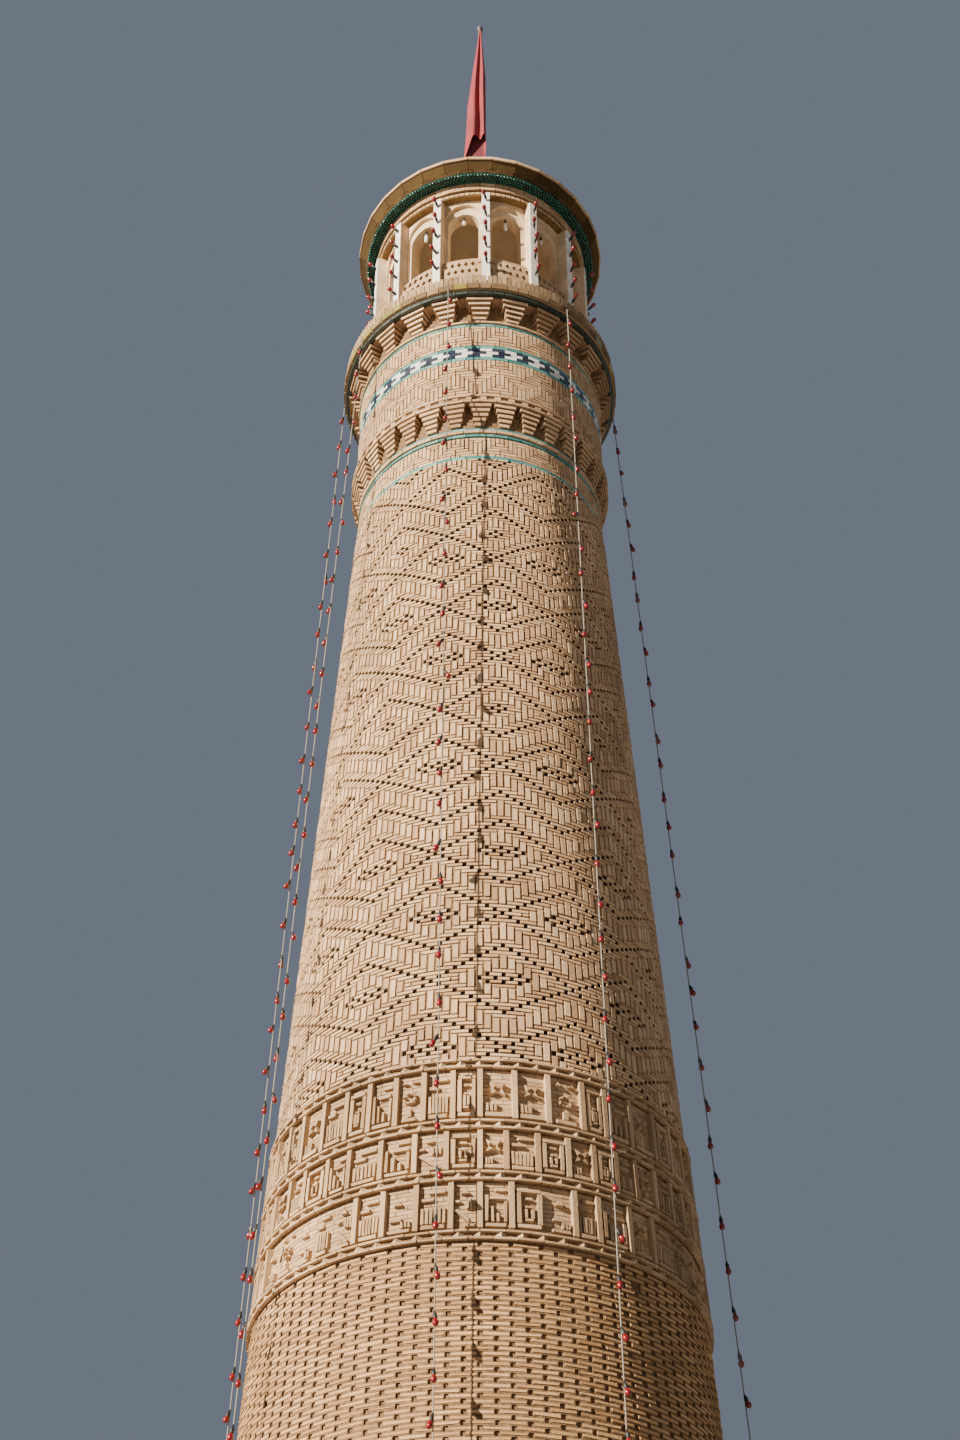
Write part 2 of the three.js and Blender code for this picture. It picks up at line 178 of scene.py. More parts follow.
def bricks_of(label, columns, levels, joints, radius_at, first_azimuth=0.0):
    """Groups cells with the same label into bricks.

    Returns the first and last column and row of each, and its azimuths and levels less the joints.
    """
    bricks = {}
    for row in range(len(levels) - 1):
        for column in range(-SEAM, columns + SEAM):
            key = label(column, row)
            if key is not None:
                bricks.setdefault(key, []).append((column, row))
    cells = [tuple(zip(*brick)) for brick in bricks.values()]
    spans = np.array([(min(across), max(across), min(up), max(up)) for across, up in cells])
    middle = (spans[:, 0] + spans[:, 1]) / 2
    spans = spans[(middle >= 0) & (middle < columns)]
    first, last, low, high = spans.T
    pitch = 360 / columns
    left, right = first_azimuth + pitch * (first - 0.5), first_azimuth + pitch * (last + 0.5)
    return spans, rects_of(left, right, levels[low], levels[high + 1], joints, radius_at)


def turned(profile, segments):
    """A profile of (radius, z) points turned about Z, closed at both ends."""
    angles = np.linspace(0, 360, segments, endpoint=False)
    vertices = np.concatenate([on_round(angles, radius, z) for radius, z in profile])
    last = (len(profile) - 1) * segments
    faces = [tuple(range(segments))[::-1], tuple(range(last, last + segments))]
    for ring in range(0, last, segments):
        for s in range(segments):
            here, after = ring + s, ring + (s + 1) % segments
            faces.append((here, after, after + segments, here + segments))
    return vertices, faces


def copies(name, shape, places, slot, material, smooth=False):
    """Copies of one shape as one piece, each with its own place and tone."""
    vertices, faces = shape
    homogeneous = np.c_[vertices, np.ones(len(vertices))]
    all_vertices = np.concatenate([(homogeneous @ np.array(place).T)[:, :3] for place in places])
    all_faces = [tuple(v + i * len(vertices) for v in face) for i in range(len(places)) for face in faces]
    tones = np.repeat(default_rng(SEED).random(len(places)), len(faces))
    return new_object(name, all_vertices, all_faces, [material], tones, smooth)


def facing(azimuth, radius=0.0, z=0.0):
    """A frame at an azimuth: X runs along the wall to the right, -Y out of it, Z up."""
    return Matrix.Rotation(radians(azimuth), 4, "Z") @ Matrix.Translation((0, -radius, z))


def around(count):
    return [facing(360 / count * k) for k in range(count)]


def box_shape(x0, x1, out0, out1, z0, z1):
    """A box in a frame made by facing(): across the wall, out from the axis, and up."""
    return [(x, -out, z) for out in (out1, out0) for x, z in rectangle(x0, x1, z0, z1)], prism(4)


def reliefs(name, shapes, slot, material, wear=0.003, seed=SEED):
    """Raised flat shapes on the wall: (azimuth, level, outline of (across, up) points, how proud)."""
    rng = default_rng(seed)
    vertices, faces, tones = [], [], []
    for azimuth, foot, outline, proud in shapes:
        outline = np.asarray(outline, float)
        start, count = len(vertices), len(outline)
        middle = outline.mean(0)
        reach = np.linalg.norm(outline - middle, axis=1, keepdims=True)
        front = middle + (outline - middle) * (1 - wear * rng.uniform(0.4, 1.8, (count, 1)) / reach)
        for points, out in ((front, proud * rng.uniform(0.9, 1.04)), (outline, -EMBED)):
            z = foot + points[:, 1]
            radius = cone_radius(z)
            turn = azimuth + np.degrees(points[:, 0] / radius)
            vertices += on_round(turn, radius + out, z).tolist()
        faces += [tuple(start + k for k in face) for face in prism(count)]
        tones += [rng.random()] * (count + 2)
    new_object(name, vertices, faces, [material], tones)


# Materials
class Nodes:
    def __init__(self, name):
        self.material = bpy.data.materials.new(name)
        self.material.use_nodes = True
        self.tree = self.material.node_tree
        self.place = self.add("ShaderNodeTexCoord").outputs["Object"]

    def fill(self, node, values):
        """Sets a node's sockets, with _ for a space in a name, and its settings."""
        for key, value in values.items():
            socket = node.inputs.get(key.replace("_", " "))
            if socket is None:
                setattr(node, key, value)
            elif isinstance(value, bpy.types.NodeSocket):
                self.tree.links.new(value, socket)
            else:
                socket.default_value = (*value, 1.0) if socket.type == "RGBA" else value
        return node

    def add(self, kind, **values):
        return self.fill(self.tree.nodes.new(kind), values)

    def tone(self):
        return self.add("ShaderNodeAttribute", attribute_name="tone").outputs["Fac"]

    def noise(self, scale, detail=3.0, stretch=None, roughness=0.55):
        place = self.place
        if stretch:
            place = self.add("ShaderNodeMapping", Vector=place, Scale=stretch).outputs[0]
        node = self.add("ShaderNodeTexNoise", Vector=place, Scale=scale, Detail=detail, Roughness=roughness)
        return node.outputs["Fac"]

    def ramp(self, value, *stops):
        node = self.add("ShaderNodeValToRGB", Fac=value)
        elements = node.color_ramp.elements
        while len(elements) < len(stops):
            elements.new(0.5)
        for element, (position, color) in zip(elements, stops):
            element.position = position
            element.color = (*color, 1.0)
        return node.outputs["Color"]

    def span(self, value, low, high, to_low=0.0, to_high=1.0):
        node = self.add("ShaderNodeMapRange", Value=value, From_Min=low, From_Max=high, To_Min=to_low,
                        To_Max=to_high)
        return node.outputs["Result"]

    def mix(self, factor, a, b, blend="MIX"):
        node = self.add("ShaderNodeMix", data_type="RGBA", blend_type=blend, Factor=factor, A=a, B=b)
        return node.outputs["Result"]

    def bumps(self, *layers):
        """Bumps over each other: (height, distance, strength)."""
        below = {}
        for height, distance, strength in layers:
            node = self.add("ShaderNodeBump", Height=height, Distance=distance, Strength=strength, **below)
            below = {"Normal": node.outputs["Normal"]}
        return below["Normal"]

    def finish(self, **values):
        self.fill(self.tree.nodes["Principled BSDF"], values)
        return self.material


def fired_brick(name, low, middle, high, stain=0.35):
    """Old brick, each with its own tone under soft stains, pits and grain."""
    n = Nodes(name)
    body = n.ramp(n.tone(), (0.0, low), (0.45, middle), (1.0, high))
    blotch = n.noise(14.0, 4.0)
    body = n.mix(n.span(blotch, 0.35, 0.75, 0.0, 0.45), body, middle)
    weather = n.noise(0.9, 5.0, (1, 1, 0.45), 0.65)
    body = n.mix(1.0, body, n.ramp(weather, (0.3, (1 - stain,) * 3), (0.62, (1.0,) * 3)), "MULTIPLY")
    pits = n.noise(55.0, 4.0)
    dirt = (low[0] * 0.5, low[1] * 0.45, low[2] * 0.4)
    body = n.mix(n.span(pits, 0.56, 0.72, 0.0, 0.4), body, dirt)
    normal = n.bumps((n.noise(160.0, 2.0), 0.0015, 0.5), (pits, 0.006, 0.7), (blotch, 0.008, 0.5))
    return n.finish(Base_Color=body, Roughness=0.93, Normal=normal, Specular_IOR_Level=0.2)


def mortar(name, dark, light):
    """The wall behind the laid bricks: shaded, sandy bedding."""
    n = Nodes(name)
    body = n.ramp(n.noise(22.0, 5.0), (0.35, dark), (0.7, light))
    normal = n.bumps((n.noise(90.0), 0.006, 0.8))
    return n.finish(Base_Color=body, Roughness=0.97, Normal=normal, Specular_IOR_Level=0.1)


def glazed(name, low, high, roughness=0.22):
    """Tiles, each with its own depth of colour, with a wavy shine and worn spots."""
    n = Nodes(name)
    body = n.ramp(n.tone(), (0.0, low), (1.0, high))
    worn = n.noise(45.0, 5.0)
    body = n.mix(n.span(worn, 0.62, 0.74, 0.0, 0.55), body, (0.42, 0.34, 0.25))
    shine = n.span(worn, 0.5, 0.74, roughness, 0.8)
    normal = n.bumps((n.noise(26.0, 2.0), 0.004, 0.35))
    return n.finish(Base_Color=body, Roughness=shine, Normal=normal, Coat_Weight=0.3, Coat_Roughness=0.1)


def plaster(name, color, dirt, scale=1.0):
    """Plaster with soft waves, fine patches and grime."""
    n = Nodes(name)
    wave = n.noise(3.5 * scale, 4.0)
    patch = n.noise(18.0 * scale, 5.0)
    body = n.ramp(wave, (0.3, dirt), (0.62, color))
    body = n.mix(n.span(patch, 0.55, 0.75, 0.0, 0.4), body, dirt)
    normal = n.bumps((wave, 0.02, 0.35), (patch, 0.004, 0.6))
    return n.finish(Base_Color=body, Roughness=0.9, Normal=normal, Specular_IOR_Level=0.25)


def eaves():
    """Brick outside, and the plaster of the gallery on the inside, made lighter as painted bounce light."""
    n = Nodes("eaves")
    plan = n.add("ShaderNodeMapping", Vector=n.place, Scale=(1, 1, 0)).outputs[0]
    distance = n.add("ShaderNodeVectorMath", operation="LENGTH", Vector=plan).outputs["Value"]
    grain = n.noise(20.0, 5.0)
    brick = n.ramp(grain, (0.3, (0.14, 0.082, 0.03)), (0.7, (0.25, 0.155, 0.07)))
    painted_light_lime = n.ramp(grain, (0.3, (0.7, 0.55, 0.36)), (0.7, (0.84, 0.7, 0.5)))
    body = n.mix(n.span(distance, 1.22, 1.25), painted_light_lime, brick)
    normal = n.bumps((grain, 0.008, 0.6))
    return n.finish(Base_Color=body, Roughness=0.93, Normal=normal, Specular_IOR_Level=0.2)


def lamp_glass(name, color):
    n = Nodes(name)
    dust = n.noise(60.0)
    body = n.mix(n.span(dust, 0.5, 0.75, 0.0, 0.35), color, tuple(c * 0.55 for c in color))
    shine = n.span(dust, 0.4, 0.7, 0.12, 0.4)
    return n.finish(Base_Color=body, Roughness=shine, Coat_Weight=0.5, Coat_Roughness=0.08)


def painted(name, color, roughness=0.45, metallic=0.0, dusty=0.3):
    n = Nodes(name)
    dust = n.noise(24.0, 4.0)
    scuffs = n.noise(90.0)
    body = n.mix(n.span(dust, 0.5, 0.75, 0.0, dusty), color, (0.42, 0.34, 0.26))
    shine = n.span(scuffs, 0.3, 0.7, roughness, roughness + 0.2)
    return n.finish(Base_Color=body, Roughness=shine, Metallic=metallic, Normal=n.bumps((scuffs, 0.001, 0.4)))


def cloth():
    """Thin woven cloth, faded in places, with a soft sheen, and painted shade on the layer behind."""
    n = Nodes("red_cloth")
    body = n.ramp(n.noise(1.6, 4.0), (0.32, (0.15, 0.002, 0.007)), (0.7, (0.28, 0.006, 0.016)))
    depth = n.add("ShaderNodeSeparateXYZ", Vector=n.place).outputs["Y"]
    body = n.mix(n.span(depth, -0.044, -0.037), body, (0.11, 0.004, 0.01))  # painted shade on the layer behind, near the pole
    threads = [n.add("ShaderNodeTexWave", Vector=n.place, Scale=240.0, Distortion=0.6, bands_direction=axis)
               for axis in "ZX"]
    layers = [(thread.outputs["Fac"], 0.0006, 0.3) for thread in threads] + [(n.noise(18.0), 0.004, 0.4)]
    return n.finish(Base_Color=body, Roughness=0.78, Normal=n.bumps(*layers), Sheen_Weight=0.12,
                    Sheen_Roughness=0.4)


BRICK = fired_brick("buff_brick", (0.41, 0.25, 0.14), (0.55, 0.36, 0.21), (0.68, 0.48, 0.305))
BASE_BRICK = fired_brick("base_brick", (0.41, 0.215, 0.095), (0.54, 0.315, 0.15), (0.66, 0.41, 0.21), 0.36)
CARVED_BRICK = fired_brick("carved_brick", (0.38, 0.24, 0.13), (0.49, 0.33, 0.19), (0.6, 0.42, 0.26), 0.45)
# near-black: painted shade for the deep holes of the shaft
PAINTED_HOLE_SHADE = mortar("hollow", (0.018, 0.011, 0.007), (0.04, 0.025, 0.015))
SHADED_MORTAR = mortar("shaded_mortar", (0.12, 0.068, 0.034), (0.25, 0.15, 0.082))
MORTAR = mortar("bed_mortar", (0.13, 0.075, 0.038), (0.26, 0.165, 0.09))
TEAL = glazed("teal_glaze", (0.03, 0.16, 0.16), (0.13, 0.36, 0.33), 0.3)
# teal glaze darkened almost to black as painted shade under the balcony rim
SHADED_TEAL = glazed("shaded_teal_glaze", (0.012, 0.022, 0.018), (0.028, 0.05, 0.042), 0.4)
OLIVE_TILE = glazed("olive_glaze", (0.16, 0.13, 0.02), (0.34, 0.26, 0.05), 0.3)
WHITE_TILE = glazed("white_glaze", (0.62, 0.6, 0.56), (0.8, 0.79, 0.76), 0.3)
DARK_TILE = glazed("dark_glaze", (0.008, 0.012, 0.025), (0.03, 0.04, 0.07))
GREEN_TILE = glazed("green_mosaic", (0.003, 0.032, 0.025), (0.015, 0.13, 0.09), 0.07)
RIM_BRICK = fired_brick("rim_brick", (0.13, 0.078, 0.038), (0.19, 0.12, 0.062), (0.27, 0.18, 0.1))
# brown brick darkened further as painted shade on the undersides of the eaves
SHADED_SOFFIT_BRICK = fired_brick("shaded_soffit_brick", (0.052, 0.028, 0.008), (0.084, 0.048, 0.015), (0.12, 0.072, 0.025))
TOOTH_BRICK = fired_brick("tooth_brick", (0.23, 0.15, 0.08), (0.33, 0.22, 0.125), (0.45, 0.315, 0.19))
CREAM_PLASTER = plaster("cream_plaster", (0.68, 0.52, 0.35), (0.46, 0.32, 0.19))
LATTICE_PLASTER = plaster("lattice_plaster", (0.44, 0.305, 0.19), (0.32, 0.21, 0.12))
# cream plaster, made lighter than the arcade's as painted light bounced into the gallery
VAULT_PLASTER_WITH_PAINTED_LIGHT = plaster("vault_plaster_with_painted_light", (0.84, 0.7, 0.5), (0.7, 0.55, 0.36))
WHITE_PAINT = plaster("white_paint", (0.82, 0.8, 0.76), (0.66, 0.6, 0.54), 2.0)
EAVES = eaves()
RED_GLASS = lamp_glass("red_bulb", (0.19, 0.002, 0.004))
WHITE_GLASS = lamp_glass("white_bulb", (0.8, 0.79, 0.74))
BLACK_HOLDER = painted("black_holder", (0.01, 0.01, 0.011), dusty=0.05)
LEAD = painted("pale_lead", (0.2, 0.185, 0.16), 0.6)
POLE = painted("pole_paint", (0.13, 0.12, 0.12), 0.4, 0.6)
CLOTH = cloth()

# Stage and lights
mesh = bpy.data.meshes.new("floor")
mesh.from_pydata([(x, y, 0) for x, y in rectangle(-400.0, 400.0, -400.0, 400.0)], [], [(0, 1, 2, 3)])
floor = add_object("floor", mesh)
n = Nodes("pale_floor")
shade = n.ramp(n.noise(0.3, 2.0), (0.3, (0.22,) * 3), (0.7, (0.25,) * 3))
mesh.materials.append(n.finish(Base_Color=shade, Roughness=0.95))

world = bpy.data.worlds.new("pale_surround")
bpy.context.scene.world = world
world.use_nodes = True
background = world.node_tree.nodes["Background"]
background.inputs["Color"].default_value = (0.58, 0.68, 0.86, 1.0)
background.inputs["Strength"].default_value = 0.26

sun = bpy.data.lights.new("key_light", "SUN")
sun.energy = 16.0
sun.angle = radians(1)
sun.color = (1.0, 0.88, 0.7)
key = add_object("key_light", sun)
sun_azimuth, sun_elevation = -53, radians(23)
towards = Vector(on_round(sun_azimuth, cos(sun_elevation), sin(sun_elevation)))
key.rotation_mode = "QUATERNION"
key.rotation_quaternion = towards.to_track_quat("Z", "Y")

# The camera stands close to the foot of the tower and looks steeply up.
optics = bpy.data.cameras.new("camera")
optics.lens = 53.07  # mm
optics.shift_y = 0.176
optics.clip_end = 500
camera = add_object("camera", optics)
camera.location = (0, -18.28, 0.3)
camera.rotation_euler = (radians(90 + 35.9), 0, 0)
bpy.context.scene.camera = camera

# Materials of the solids in view, by how their names start
SOLIDS = (
    # the shaft wall, seen only at the back of the holes, is painted near-black as painted shade
    (PAINTED_HOLE_SHADE, "shaft_wall"),
    (SHADED_MORTAR, "base_wall", "moulding_under"),
    (MORTAR, "drum_wall", "neck_course", "lower_co", "upper_co", "moulding_over", "lower_fr", "middle_fr",
     "upper_fr"),
    (BRICK, "ground_floor", "balcony_slab"),
    (EAVES, "canopy_cornice", "canopy_slab"),
    (TEAL, "shaft_tile_line", "neck_tile_line", "drum_tile_line"),
    (SHADED_TEAL, "balcony_tile_line"),
    (GREEN_TILE, "canopy_tile_band"),
    (DARK_TILE, "drum_tile_band"),
    (CREAM_PLASTER, "gallery_arcade"),
    (VAULT_PLASTER_WITH_PAINTED_LIGHT, "roof_dome"),
    (POLE, "flagpole"),
    (LEAD, "light_string"),
)
for material, *starts in SOLIDS:
    for subpart in frame["record"]["subparts"]:
        if subpart["node"].startswith(tuple(starts)):
            materials = bpy.data.objects[subpart["node"]].data.materials
            materials.clear()
            materials.append(material)


# Base: stretchers laid with wide open joints, each course half a brick on
BASE_COLUMNS = 102
BASE_COURSE = 0.048
BASE_JOINT = 0.009
BASE_HOLE = 0.042
BRICK_PROUD = 0.026
DOOR_HALF = 0.4
DOOR_SURROUND = 0.12  # width of the bricks round the doorway
DOOR_COURSE = 0.066
SPRINGING = 1.9 - DOOR_HALF  # where the doorway's round head starts
VOUSSOIRS = 23
VENT = (38.9, 8.94)  # azimuth and level of a square hole
VENT_HALF = (1.4, 0.048)  # half its width in degrees, and half its height
SHORTEST_BRICK = 0.3  # degrees


def doorway_clear(azimuth, low, half_width):
    """Which bricks stay clear of the doorway and its surround."""
    across = np.abs(np.radians(azimuth % 360 - 180)) * cone_radius(low) - half_width
    reach = DOOR_HALF + DOOR_SURROUND
    beside = (across > reach) | (low > SPRINGING)
    return beside & ((low < SPRINGING) | (np.hypot(np.maximum(across, 0), low - SPRINGING) > reach))


def round_vent(rects):
    """Blocks with the vent taken out of them."""
    azimuth, z = VENT
    left, right = azimuth - VENT_HALF[0], azimuth + VENT_HALF[0]
    reach = VENT_HALF[1] - BASE_JOINT
    clear = (rects[:, 1] < left) | (rects[:, 0] > right) | (rects[:, 2] > z + reach) | (rects[:, 3] < z - reach)
    before, after = rects[~clear], rects[~clear]
    before[:, 1] = left
    after[:, 0] = right
    parts = np.concatenate([rects[clear], before, after])
    return parts[parts[:, 1] - parts[:, 0] > SHORTEST_BRICK]


def base_bricks():
    low, high = level("base_wall_front")
    rows = round((high - low) / BASE_COURSE)
    levels = np.linspace(low, high, rows + 1)
    row, column = np.nonzero(np.add.outer(np.arange(rows), np.arange(BASE_COLUMNS)) % 2 == 0)
    pitch = 360 / BASE_COLUMNS
    rng = default_rng(SEED + 1)
    middle = pitch * column + rng.normal(0, 0.05, len(row))
    radius = cone_radius(levels[row])
    half = pitch - np.degrees(rng.uniform(0.8, 1.2, len(row)) * BASE_HOLE / radius) / 2
    clear = doorway_clear(middle, levels[row], np.radians(half) * radius)
    for name, joint, *finish in (
        ("base_bricks", BASE_JOINT, 0.8 * BRICK_PROUD, "brick", BASE_BRICK, 0.009, SEED, 0.3),
        ("base_bedding", 0.0, 0.6 * BRICK_PROUD, "brick", MORTAR, 0.0, SEED, 0.1, SHADED_MORTAR),
    ):
        rects = rects_of(middle - half, middle + half, levels[row], levels[row + 1], (0.0, joint), cone_radius)
        blocks_on_wall(name, round_vent(rects[clear]), cone_radius, *finish)


def door_surround():
    inner, outer = DOOR_HALF + 0.004, DOOR_HALF + DOOR_SURROUND - 0.01
    outlines = []
    for k in range(int(SPRINGING / DOOR_COURSE)):
        low, high = k * DOOR_COURSE + 0.004, (k + 1) * DOOR_COURSE - 0.004
        for side in (-1, 1):
            outlines.append(rectangle(side * inner, side * outer, low, high)[::side])
    for k in range(VOUSSOIRS):
        a0, a1 = (pi * (k + edge) / VOUSSOIRS for edge in (0.05, 0.95))
        outlines.append(polar(0, SPRINGING, rectangle(inner, outer, a0, a1)))
    shapes = [(180, 0, outline, BRICK_PROUD) for outline in outlines]
    reliefs("doorway_surround", shapes, "brick", BASE_BRICK)


# Shaft: rows of lozenges between zigzag lines of holes, with bands of upright bricks
FOLD = 9  # columns and courses from a peak of a line to its next trough
SHAFT_COLUMNS = 18 * FOLD
SHAFT_ROWS = 196
SHAFT_AZIMUTH = 6.5
SHAFT_JOINTS = (0.017, 0.011)
SHAFT_HOLE = 0.04
FIRST_LOZENGES = 3  # course of the middles of the lowest lozenges
BANDS = [1, 1, 1, 2, 1, 1, 1, 1, 0, 1, 2]  # bands of upright bricks over each row
PLAIN_LOZENGES = (9, 10, 5)  # rows with a small cross of holes in each


def shaft_lines():
    """Lines as (kind, course of the troughs), from the ground up, and the lozenges that stand on a line.

    A line of kind 0 has its peaks on every even fold of the wall, one of kind 1 on every odd fold.
    """
    kind, middle = 1, FIRST_LOZENGES
    lines = [(1 - kind, middle - 2 * FOLD), (1 - kind, middle - FOLD)]
    lozenges = {}
    for count, bands in enumerate(BANDS):
        lozenges[len(lines) - 1] = (kind, middle, count not in PLAIN_LOZENGES)
        lines += [(kind, middle + FOLD * band) for band in range(bands + 1)]
        kind, middle = 1 - kind, middle + FOLD * (bands + 1)
    return lines, lozenges


LINES, LOZENGES = shaft_lines()


def from_fold(column, kind):
    """Columns from the nearest fold of a kind."""
    return abs((column + FOLD * (1 + kind)) % (2 * FOLD) - FOLD)


def beside_line(column, row, line):
    """The flat brick over or under a line of holes that covers a cell, or None."""
    kind, trough = LINES[line]
    peak = from_fold(column, kind)
    offset = row - (trough + FOLD - peak)
    reach = abs(offset)
    inner = FOLD - peak if offset > 0 else peak
    outer = FOLD - inner
    if reach > 2 or reach - outer == 2:
        return None
    if inner + reach == 1:
        return ("stub", column, row)
    if inner + reach == 2 or reach - outer == 1:
        return ("fold", row, (column + FOLD // 2) // FOLD)
    return ("flat", row, line, offset > 0, column // FOLD)


def shaft_label(column, row):
    """The brick of the shaft that covers a cell, or None for a hole."""
    heights = [trough + FOLD - from_fold(column, kind) for kind, trough in LINES]
    line = bisect.bisect_right(heights, row) - 1
    if heights[line] == row:
        return None
    flat = beside_line(column, row, line) or beside_line(column, row, line + 1)
    if flat or line not in LOZENGES:
        return flat or ("upright", column, line)
    kind, middle, rich = LOZENGES[line]
    side, up = from_fold(column, kind), abs(row - middle)
    if side + up == 1 or rich and (side, up) in ((3, 0), (2, 1)):
        return None
    if side + up == 0:
        return ("stub", column, row)
    if side + up <= 3 and up <= 1:
        return ("cross", row, column // FOLD)
    if up == 2 and side <= 1:
        return ("fold", row, (column + FOLD // 2) // FOLD)
    return ("upright", column, line, side < 4 and row > middle)


def bedding(name, holes, levels, edges, proud):
    """The mortar round the bricks: a skin over the wall, cut away at each hole.

    edges holds the azimuth where each column of cells starts, at each level.
    """
    rows, columns = holes.shape
    radii = cone_radius(levels)[:, None]
    skin = [on_round(edges, radii + out, levels[:, None]).reshape(-1, 3) for out in (proud, -EMBED)]
    layer = (rows + 1) * columns
    row, column = np.nonzero(~holes)
    after = (column + 1) % columns
    low, high = row * columns, (row + 1) * columns
    corners = [low + column, low + after, high + after, high + column]
    faces = [np.stack(corners, 1)]
    for next_row, next_column, side in (
        (row - 1, column, 0), (row + 1, column, 2), (row, column - 1, 3), (row, after, 1),
    ):
        outside = (next_row < 0) | (next_row >= rows)
        edge = outside | holes[next_row % rows, next_column % columns]
        first, second = corners[side][edge], corners[side - 3][edge]
        faces.append(np.stack([second, first, first + layer, second + layer], 1))
    faces = np.concatenate(faces).tolist()
    # the sides of each hole are painted near-black: painted shade inside the holes
    obj = new_object(name, np.concatenate(skin), faces, [MORTAR, PAINTED_HOLE_SHADE])
    obj.data.polygons.foreach_set("material_index", [0] * len(row) + [1] * (len(faces) - len(row)))


def shaft_bricks():
    levels = np.linspace(level("shaft_wall_front")[0], level("shaft_tile_line")[0], SHAFT_ROWS + 1)
    pitch = 360 / SHAFT_COLUMNS
    bricks, rects = bricks_of(shaft_label, SHAFT_COLUMNS, levels, SHAFT_JOINTS, cone_radius, SHAFT_AZIMUTH)

    # a hole is narrower than a column, so the bricks on both sides of it reach into its column
    spare = (pitch - np.degrees((SHAFT_HOLE - SHAFT_JOINTS[0]) / cone_radius(rects[:, 2]))) / 2
    for edge, step in ((0, -1), (1, 1)):
        beside = np.array([b[2] == b[3] and shaft_label(b[edge] + step, b[2]) is None for b in bricks])
        rects[beside, edge] += step * spare[beside]
    blocks_on_wall("shaft_bricks", rects, cone_radius, BRICK_PROUD, "brick", BRICK, 0.0035, uneven=0.2)

    holes = np.zeros((SHAFT_ROWS, 2 * SHAFT_COLUMNS), bool)
    holes[:, ::2] = [[shaft_label(column, row) is None for column in range(SHAFT_COLUMNS)]
                     for row in range(SHAFT_ROWS)]
    middles = SHAFT_AZIMUTH + pitch * np.arange(SHAFT_COLUMNS)
    half = np.degrees(SHAFT_HOLE / cone_radius(levels))[:, None] / 2
    edges = np.stack([middles - half, middles + half], 2).reshape(SHAFT_ROWS + 1, -1)
    bedding("shaft_bedding", holes, levels, edges, 0.48 * BRICK_PROUD)


# Drum and neck: stepped herringbone
HERRING_COLUMNS = 180
HERRING_FOLD = 5  # columns before the steps turn back
BRICK_CELLS = 4
HERRING_JOINTS = (0.01, 0.009)


def herringbone_label(column, row):
    """Bricks four cells long, upright and flat in turn, in steps that turn back at each fold."""
    part, x = divmod(column, HERRING_FOLD)
    if part % 2:
        x = HERRING_FOLD - 1 - x
    repeat, k = divmod(x - row, 2 * BRICK_CELLS)
    if k >= BRICK_CELLS:
        return ("upright", column, repeat)
    start = x - k
    if start + BRICK_CELLS <= BRICK_CELLS // 2:  # cells on this side of the fold at x = 0
        return ("joined", row, part + part % 2)
    if HERRING_FOLD - start <= BRICK_CELLS // 2:
        return ("joined", row, part + 1 - part % 2)
    return ("flat", part, row, start)


def herringbone(name, low, high, radius_at, seed):
    cell = 2 * pi * radius_at(low) / HERRING_COLUMNS
    rows = max(1, round((high - low) / cell))
    levels = np.linspace(low, high, rows + 1)
    _, rects = bricks_of(herringbone_label, HERRING_COLUMNS, levels, HERRING_JOINTS, radius_at)
    blocks_on_wall(name, rects, radius_at, 0.8 * BRICK_PROUD, "brick", BRICK, seed=seed)


def upper_brickwork():
    band_low, band_high = level("drum_tile_band")
    herringbone("neck_bricks", level("shaft_tile_line")[1], NECK_LEVEL, cone_radius, SEED + 2)
    herringbone("drum_bricks_lower", level("drum_wall")[0], band_low, on_drum, SEED + 3)
    herringbone("drum_bricks_upper", band_high, level("drum_tile_line")[0], on_drum, SEED + 4)


# Glazed rings
LINE_TILES = 56
CHECKER_TILES = 64
CHECKER_ROWS = 3
TILE_PROUD = 0.02


def ring_of_tiles(name, count, low, high, radius_at, proud, slot, material, joint=0.006, offset=0.0, every=1,
                  seed=SEED):
    """One course of tiles round a wall. every=2 lays only every second tile."""
    pitch = 360 / count
    starts = offset + pitch * np.arange(0, count, every)
    rects = rects_of(starts, starts + pitch, low, high, (joint, joint), radius_at)
    blocks_on_wall(name, rects, radius_at, proud, slot, material, 0.0015, seed)


def glazed_rings():
    for node, radius_at, grow in (
        ("shaft_tile_line", cone_radius, 0.008),
        ("neck_tile_line_lower", on_neck, 0.0),
        ("neck_tile_line_upper", on_neck, 0.0),
        ("drum_tile_line", on_drum, 0.0),
    ):
        low, high = level(node)
        low, high = low - grow, high + grow
        ring_of_tiles(node + "_tiles", LINE_TILES, low, high, radius_at, TILE_PROUD, "glazed_line", TEAL)

    low, high = level("drum_tile_band")
    course = (high - low) / (CHECKER_ROWS + 2)
    for name, foot in (("drum_band_lower_edge", low), ("drum_band_upper_edge", high - course)):
        ring_of_tiles(name, LINE_TILES, foot, foot + course, on_drum, TILE_PROUD, "checker_tiles", TEAL)
    for row in range(CHECKER_ROWS):
        foot = low + course * (row + 1)
        for colour, material, step in (("white", WHITE_TILE, 0), ("dark", DARK_TILE, 1)):
            offset = 360 / CHECKER_TILES * (step + 0.5 * (row % 2))
            ring_of_tiles(f"drum_band_{colour}_tiles_{row + 1}", CHECKER_TILES, foot, foot + course, on_drum,
                          TILE_PROUD, "checker_tiles", material, 0.005, offset, 2, SEED + row)


# Mouldings: two thin courses of brick with a sawtooth course between them
SAWTEETH = 74
SAWTOOTH_PROUD = 0.028
COURSE_BRICKS = 62
COURSE = 0.03
COURSE_PROUD = 0.034
CARVED = ("carved_brick", CARVED_BRICK)  # label and material of the carved zone
